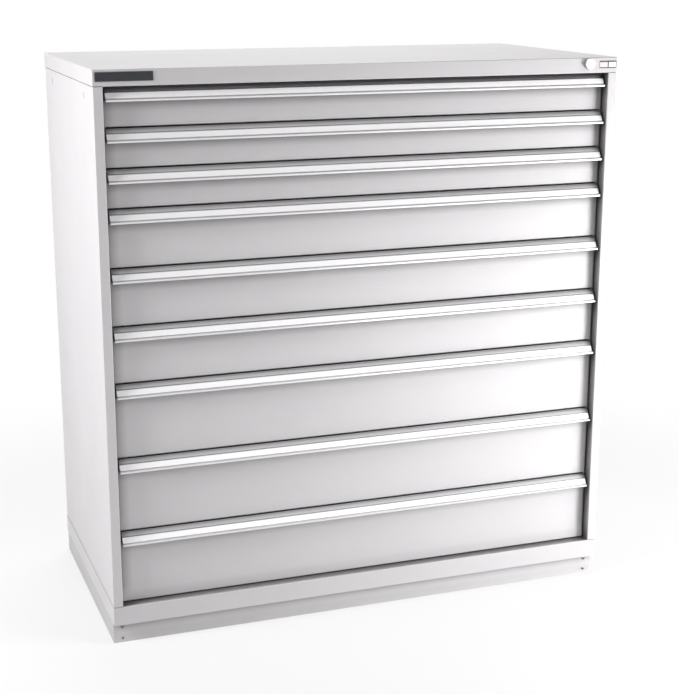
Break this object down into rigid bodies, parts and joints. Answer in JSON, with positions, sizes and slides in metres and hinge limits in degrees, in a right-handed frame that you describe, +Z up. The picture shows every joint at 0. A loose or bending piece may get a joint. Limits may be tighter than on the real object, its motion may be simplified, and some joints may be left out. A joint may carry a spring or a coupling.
{
  "type": "drawer cabinet",
  "caption": "Extra-wide steel drawer cabinet on a low base, with full-width drawers on roller slides, aluminium grip rails and a key-worked lock bar.",
  "frame": {"origin": "on the floor, at the middle of the outline, which the lock in front is part of", "axes": "+X to the cabinet's right side as seen from the front, +Y to the back, +Z up; drawers open towards -Y"},
  "size_m": [1.435, 0.7352, 1.5113],
  "materials": {
    "white_paint": "semi-gloss baked powder coat, near white",
    "anodised_aluminium": "satin natural anodised extrusion",
    "zinc_steel": "bright zinc plated pressed steel",
    "lock_chrome": "nickel-chrome plated lock",
    "dark_plate": "bare dark grey badge plate",
    "pale_label": "bare pale two-field label"
  },
  "bodies": {
    "root": {"top_cover": "white_paint", "bottom_pan": "white_paint", "side_panel_left": "white_paint", "side_panel_right": "white_paint", "back_panel": "white_paint", "base_frame": "white_paint", "base_front_cover": "white_paint", "base_screw_left_lower": "zinc_steel", "base_screw_left_upper": "zinc_steel", "base_screw_right_lower": "zinc_steel", "base_screw_right_upper": "zinc_steel", "runner_frame_left": "zinc_steel", "runner_frame_right": "zinc_steel", "lock_barrel": "lock_chrome", "lock_nut": "zinc_steel", "badge_plate": "dark_plate", "lock_label": "pale_label"},
    "drawer_1": {"drawer_1": "white_paint", "grip_rail_1": "anodised_aluminium"},
    "drawer_2": {"drawer_2": "white_paint", "grip_rail_2": "anodised_aluminium"},
    "drawer_3": {"drawer_3": "white_paint", "grip_rail_3": "anodised_aluminium"},
    "drawer_4": {"drawer_4": "white_paint", "grip_rail_4": "anodised_aluminium"},
    "drawer_5": {"drawer_5": "white_paint", "grip_rail_5": "anodised_aluminium"},
    "drawer_6": {"drawer_6": "white_paint", "grip_rail_6": "anodised_aluminium"},
    "drawer_7": {"drawer_7": "white_paint", "grip_rail_7": "anodised_aluminium"},
    "drawer_8": {"drawer_8": "white_paint", "grip_rail_8": "anodised_aluminium"},
    "drawer_9": {"drawer_9": "white_paint", "grip_rail_9": "anodised_aluminium"},
    "carriage_left_1": {"carriage_left_1": "zinc_steel"},
    "carriage_right_1": {"carriage_right_1": "zinc_steel"},
    "carriage_left_2": {"carriage_left_2": "zinc_steel"},
    "carriage_right_2": {"carriage_right_2": "zinc_steel"},
    "carriage_left_3": {"carriage_left_3": "zinc_steel"},
    "carriage_right_3": {"carriage_right_3": "zinc_steel"},
    "carriage_left_4": {"carriage_left_4": "zinc_steel"},
    "carriage_right_4": {"carriage_right_4": "zinc_steel"},
    "carriage_left_5": {"carriage_left_5": "zinc_steel"},
    "carriage_right_5": {"carriage_right_5": "zinc_steel"},
    "carriage_left_6": {"carriage_left_6": "zinc_steel"},
    "carriage_right_6": {"carriage_right_6": "zinc_steel"},
    "carriage_left_7": {"carriage_left_7": "zinc_steel"},
    "carriage_right_7": {"carriage_right_7": "zinc_steel"},
    "carriage_left_8": {"carriage_left_8": "zinc_steel"},
    "carriage_right_8": {"carriage_right_8": "zinc_steel"},
    "carriage_left_9": {"carriage_left_9": "zinc_steel"},
    "carriage_right_9": {"carriage_right_9": "zinc_steel"},
    "lock_bar": {"lock_bar": "zinc_steel"},
    "lock_key_plug": {"lock_plug": "lock_chrome", "lock_crank": "zinc_steel"}
  },
  "joints": [
    {"name": "drawer_1_slide", "type": "slide", "parent": "root", "child": "drawer_1", "axis": [0, -1, 0], "range_m": [0, 0.605]},
    {"name": "drawer_2_slide", "type": "slide", "parent": "root", "child": "drawer_2", "axis": [0, -1, 0], "range_m": [0, 0.605]},
    {"name": "drawer_3_slide", "type": "slide", "parent": "root", "child": "drawer_3", "axis": [0, -1, 0], "range_m": [0, 0.605]},
    {"name": "drawer_4_slide", "type": "slide", "parent": "root", "child": "drawer_4", "axis": [0, -1, 0], "range_m": [0, 0.605]},
    {"name": "drawer_5_slide", "type": "slide", "parent": "root", "child": "drawer_5", "axis": [0, -1, 0], "range_m": [0, 0.605]},
    {"name": "drawer_6_slide", "type": "slide", "parent": "root", "child": "drawer_6", "axis": [0, -1, 0], "range_m": [0, 0.605]},
    {"name": "drawer_7_slide", "type": "slide", "parent": "root", "child": "drawer_7", "axis": [0, -1, 0], "range_m": [0, 0.605]},
    {"name": "drawer_8_slide", "type": "slide", "parent": "root", "child": "drawer_8", "axis": [0, -1, 0], "range_m": [0, 0.605]},
    {"name": "drawer_9_slide", "type": "slide", "parent": "root", "child": "drawer_9", "axis": [0, -1, 0], "range_m": [0, 0.605]},
    {"name": "carriage_left_1_slide", "type": "slide", "parent": "root", "child": "carriage_left_1", "axis": [0, -1, 0], "range_m": [0, 0.3025]},
    {"name": "carriage_right_1_slide", "type": "slide", "parent": "root", "child": "carriage_right_1", "axis": [0, -1, 0], "range_m": [0, 0.3025]},
    {"name": "carriage_left_2_slide", "type": "slide", "parent": "root", "child": "carriage_left_2", "axis": [0, -1, 0], "range_m": [0, 0.3025]},
    {"name": "carriage_right_2_slide", "type": "slide", "parent": "root", "child": "carriage_right_2", "axis": [0, -1, 0], "range_m": [0, 0.3025]},
    {"name": "carriage_left_3_slide", "type": "slide", "parent": "root", "child": "carriage_left_3", "axis": [0, -1, 0], "range_m": [0, 0.3025]},
    {"name": "carriage_right_3_slide", "type": "slide", "parent": "root", "child": "carriage_right_3", "axis": [0, -1, 0], "range_m": [0, 0.3025]},
    {"name": "carriage_left_4_slide", "type": "slide", "parent": "root", "child": "carriage_left_4", "axis": [0, -1, 0], "range_m": [0, 0.3025]},
    {"name": "carriage_right_4_slide", "type": "slide", "parent": "root", "child": "carriage_right_4", "axis": [0, -1, 0], "range_m": [0, 0.3025]},
    {"name": "carriage_left_5_slide", "type": "slide", "parent": "root", "child": "carriage_left_5", "axis": [0, -1, 0], "range_m": [0, 0.3025]},
    {"name": "carriage_right_5_slide", "type": "slide", "parent": "root", "child": "carriage_right_5", "axis": [0, -1, 0], "range_m": [0, 0.3025]},
    {"name": "carriage_left_6_slide", "type": "slide", "parent": "root", "child": "carriage_left_6", "axis": [0, -1, 0], "range_m": [0, 0.3025]},
    {"name": "carriage_right_6_slide", "type": "slide", "parent": "root", "child": "carriage_right_6", "axis": [0, -1, 0], "range_m": [0, 0.3025]},
    {"name": "carriage_left_7_slide", "type": "slide", "parent": "root", "child": "carriage_left_7", "axis": [0, -1, 0], "range_m": [0, 0.3025]},
    {"name": "carriage_right_7_slide", "type": "slide", "parent": "root", "child": "carriage_right_7", "axis": [0, -1, 0], "range_m": [0, 0.3025]},
    {"name": "carriage_left_8_slide", "type": "slide", "parent": "root", "child": "carriage_left_8", "axis": [0, -1, 0], "range_m": [0, 0.3025]},
    {"name": "carriage_right_8_slide", "type": "slide", "parent": "root", "child": "carriage_right_8", "axis": [0, -1, 0], "range_m": [0, 0.3025]},
    {"name": "carriage_left_9_slide", "type": "slide", "parent": "root", "child": "carriage_left_9", "axis": [0, -1, 0], "range_m": [0, 0.3025]},
    {"name": "carriage_right_9_slide", "type": "slide", "parent": "root", "child": "carriage_right_9", "axis": [0, -1, 0], "range_m": [0, 0.3025]},
    {"name": "lock_bar_slide", "type": "slide", "parent": "root", "child": "lock_bar", "axis": [0, 0, -1], "range_m": [0, 0.012]},
    {"name": "lock_turn", "type": "hinge", "parent": "root", "child": "lock_key_plug", "pos_m": [0.63005, -0.3563, 1.4943], "axis": [0, 1, 0], "range_deg": [0, 90]}
  ],
  "couplings": [
    {"joint": "carriage_left_1_slide", "follows": "drawer_1_slide", "ratio": 0.5},
    {"joint": "carriage_right_1_slide", "follows": "drawer_1_slide", "ratio": 0.5},
    {"joint": "carriage_left_2_slide", "follows": "drawer_2_slide", "ratio": 0.5},
    {"joint": "carriage_right_2_slide", "follows": "drawer_2_slide", "ratio": 0.5},
    {"joint": "carriage_left_3_slide", "follows": "drawer_3_slide", "ratio": 0.5},
    {"joint": "carriage_right_3_slide", "follows": "drawer_3_slide", "ratio": 0.5},
    {"joint": "carriage_left_4_slide", "follows": "drawer_4_slide", "ratio": 0.5},
    {"joint": "carriage_right_4_slide", "follows": "drawer_4_slide", "ratio": 0.5},
    {"joint": "carriage_left_5_slide", "follows": "drawer_5_slide", "ratio": 0.5},
    {"joint": "carriage_right_5_slide", "follows": "drawer_5_slide", "ratio": 0.5},
    {"joint": "carriage_left_6_slide", "follows": "drawer_6_slide", "ratio": 0.5},
    {"joint": "carriage_right_6_slide", "follows": "drawer_6_slide", "ratio": 0.5},
    {"joint": "carriage_left_7_slide", "follows": "drawer_7_slide", "ratio": 0.5},
    {"joint": "carriage_right_7_slide", "follows": "drawer_7_slide", "ratio": 0.5},
    {"joint": "carriage_left_8_slide", "follows": "drawer_8_slide", "ratio": 0.5},
    {"joint": "carriage_right_8_slide", "follows": "drawer_8_slide", "ratio": 0.5},
    {"joint": "carriage_left_9_slide", "follows": "drawer_9_slide", "ratio": 0.5},
    {"joint": "carriage_right_9_slide", "follows": "drawer_9_slide", "ratio": 0.5},
    {"joint": "lock_turn", "follows": "lock_bar_slide", "rad_per_m": 130.9}
  ]
}
